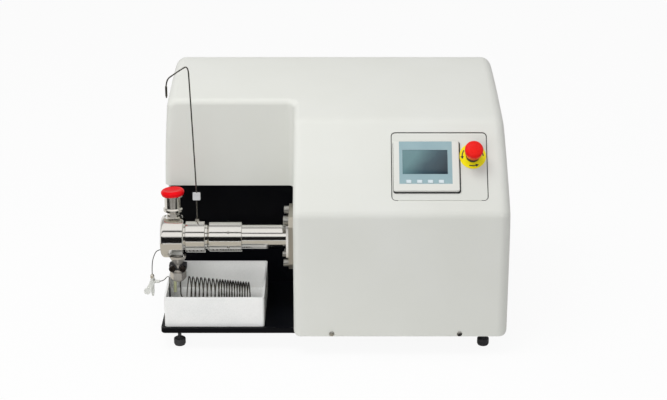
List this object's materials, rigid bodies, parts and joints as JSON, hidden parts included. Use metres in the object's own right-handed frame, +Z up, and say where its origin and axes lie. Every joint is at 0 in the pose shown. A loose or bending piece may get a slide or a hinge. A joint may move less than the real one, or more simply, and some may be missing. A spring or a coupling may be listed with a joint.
{
  "type": "high-pressure homogenizer",
  "caption": "Bench-top high-pressure homogenizer: white moulded housing, open bay with polished plunger pump, ice-bath tray with cooling coil, gooseneck spout and sloping control panel.",
  "frame": {"origin": "middle of the overall box's underside, on the bench", "axes": "+X to the machine's right as seen from the front, +Y to the rear, +Z up"},
  "size_m": [0.8158, 0.573, 0.6254],
  "materials": {
    "cover_white": "fine satin moulded shell",
    "black_sheet": "satin black coat",
    "black_plate": "black anodised",
    "polished_steel": "polished stainless steel",
    "plain_steel": "plain stainless steel",
    "tray_white": "white moulded plastic",
    "red_plastic": "glossy red",
    "black_plastic": "matt black",
    "black_rubber": "matt rubber",
    "clear_plastic": "clear plastic",
    "amber_plastic": "translucent tube",
    "panel_grey": "satin light grey",
    "screen_blue": "printed film",
    "display_glass": "display glass",
    "key_grey": "matt grey keys",
    "yellow_plastic": "glossy yellow",
    "bronze": "machined bronze",
    "ceramic_white": "ground ceramic",
    "cast_frame": "machined aluminium",
    "case_grey": "moulded case, filled"
  },
  "bodies": {
    "machine": {"cover": "cover_white", "bay_liner": "black_sheet", "base_plate": "black_plate", "fixings": "plain_steel", "tray": "tray_white", "cooling_coil": "plain_steel", "drain_tube": "amber_plastic", "pump_head": "polished_steel", "head_collar": "polished_steel", "ring_nut": "polished_steel", "barrel": "polished_steel", "flange_plate": "polished_steel", "flange_screws": "plain_steel", "seal_pack": "bronze", "inlet_neck": "polished_steel", "interaction_chamber": "polished_steel", "chamber_clamp": "black_sheet", "chamber_nut": "polished_steel", "line_fittings": "plain_steel", "thin_lines": "plain_steel", "dip_sleeve": "black_rubber", "stopcock_body": "clear_plastic", "panel_plate": "panel_grey", "screen_gasket": "black_rubber", "screen_housing": "case_grey", "screen_overlay": "screen_blue", "display": "display_glass", "stop_legend": "yellow_plastic", "stop_housing": "black_plastic", "drive_frame": "cast_frame", "hydraulic_cylinder": "plain_steel", "valve_block": "cast_frame", "motor": "cast_frame", "oil_system": "case_grey", "electrical_cases": "case_grey", "rear_panel": "panel_grey", "fan_frame": "black_plastic", "power_entry": "black_plastic"},
    "plunger_drive": {"plunger": "ceramic_white", "piston": "plain_steel"},
    "stop_button_stem": {"stop_stem": "black_plastic"},
    "stop_button_head": {"stop_mushroom": "red_plastic"},
    "cap": {"inlet_cap": "red_plastic"},
    "spout_arm": {"spout": "plain_steel", "riser_clip": "clear_plastic"},
    "stopcock_lever": {"stopcock_handle": "clear_plastic"},
    "inlet_valve": {"inlet_ball": "plain_steel"},
    "outlet_valve": {"outlet_ball": "plain_steel"},
    "motor_rotor": {"rotor": "plain_steel"},
    "pump_idler": {"idler_gear": "plain_steel"},
    "fan": {"fan_rotor": "black_plastic"},
    "rocker": {"power_rocker": "black_plastic"},
    "foot_left_front_body": {"foot_left_front": "black_plastic"},
    "foot_left_rear_body": {"foot_left_rear": "black_plastic"},
    "foot_right_front_body": {"foot_right_front": "black_plastic"},
    "foot_right_rear_body": {"foot_right_rear": "black_plastic"},
    "key_1_body": {"key_1": "key_grey"},
    "key_2_body": {"key_2": "key_grey"},
    "key_3_body": {"key_3": "key_grey"},
    "key_4_body": {"key_4": "key_grey"}
  },
  "joints": [
    {"name": "plunger_stroke", "type": "slide", "parent": "machine", "child": "plunger_drive", "axis": [-1, 0, 0], "range_m": [0, 0.058]},
    {"name": "stop_press", "type": "slide", "parent": "machine", "child": "stop_button_stem", "axis": [0, 0.7771, -0.6293], "range_m": [0, 0.005], "stiffness_N_per_m": 1500},
    {"name": "stop_twist", "type": "hinge", "parent": "stop_button_stem", "child": "stop_button_head", "pos_m": [0.32388, -0.21347, 0.45128], "axis": [0, -0.7771, 0.6293], "range_deg": [0, 45], "stiffness_Nm_per_rad": 0.05},
    {"name": "cap_lift", "type": "slide", "parent": "machine", "child": "cap", "axis": [0, 0, 1], "range_m": [0, 0.06]},
    {"name": "spout_swivel", "type": "hinge", "parent": "machine", "child": "spout_arm", "pos_m": [-0.28463, -0.14352, 0.2674], "axis": [0, 0, 1], "range_deg": [-90, 90]},
    {"name": "stopcock_turn", "type": "hinge", "parent": "machine", "child": "stopcock_lever", "pos_m": [-0.38912, -0.15552, 0.125], "axis": [0, 1, 0], "range_deg": [-90, 90]},
    {"name": "inlet_check", "type": "slide", "parent": "machine", "child": "inlet_valve", "axis": [0, 0, -1], "range_m": [0, 0.002], "stiffness_N_per_m": 200},
    {"name": "outlet_check", "type": "slide", "parent": "machine", "child": "outlet_valve", "axis": [0, 0, -1], "range_m": [0, 0.002], "stiffness_N_per_m": 200},
    {"name": "motor_spin", "type": "hinge", "parent": "machine", "child": "motor_rotor", "pos_m": [0.06087, 0.14648, 0.15], "axis": [1, 0, 0], "continuous": true},
    {"name": "idler_spin", "type": "hinge", "parent": "machine", "child": "pump_idler", "pos_m": [0.06087, 0.14648, 0.198], "axis": [1, 0, 0], "continuous": true},
    {"name": "fan_spin", "type": "hinge", "parent": "machine", "child": "fan", "pos_m": [0.26088, 0.28148, 0.32], "axis": [0, 1, 0], "continuous": true},
    {"name": "power_rock", "type": "hinge", "parent": "machine", "child": "rocker", "pos_m": [0.26088, 0.27848, 0.11], "axis": [1, 0, 0], "range_deg": [-16, 0]},
    {"name": "foot_left_front_height", "type": "slide", "parent": "machine", "child": "foot_left_front_body", "axis": [0, 0, -1], "range_m": [-0.004, 0.01]},
    {"name": "foot_left_rear_height", "type": "slide", "parent": "machine", "child": "foot_left_rear_body", "axis": [0, 0, -1], "range_m": [-0.004, 0.01]},
    {"name": "foot_right_front_height", "type": "slide", "parent": "machine", "child": "foot_right_front_body", "axis": [0, 0, -1], "range_m": [-0.004, 0.01]},
    {"name": "foot_right_rear_height", "type": "slide", "parent": "machine", "child": "foot_right_rear_body", "axis": [0, 0, -1], "range_m": [-0.004, 0.01]},
    {"name": "key_1_press", "type": "slide", "parent": "machine", "child": "key_1_body", "axis": [0, 0.7771, -0.6293], "range_m": [0, 0.0006], "stiffness_N_per_m": 600},
    {"name": "key_2_press", "type": "slide", "parent": "machine", "child": "key_2_body", "axis": [0, 0.7771, -0.6293], "range_m": [0, 0.0006], "stiffness_N_per_m": 600},
    {"name": "key_3_press", "type": "slide", "parent": "machine", "child": "key_3_body", "axis": [0, 0.7771, -0.6293], "range_m": [0, 0.0006], "stiffness_N_per_m": 600},
    {"name": "key_4_press", "type": "slide", "parent": "machine", "child": "key_4_body", "axis": [0, 0.7771, -0.6293], "range_m": [0, 0.0006], "stiffness_N_per_m": 600}
  ],
  "couplings": [
    {"joint": "idler_spin", "follows": "motor_spin", "ratio": -1}
  ]
}
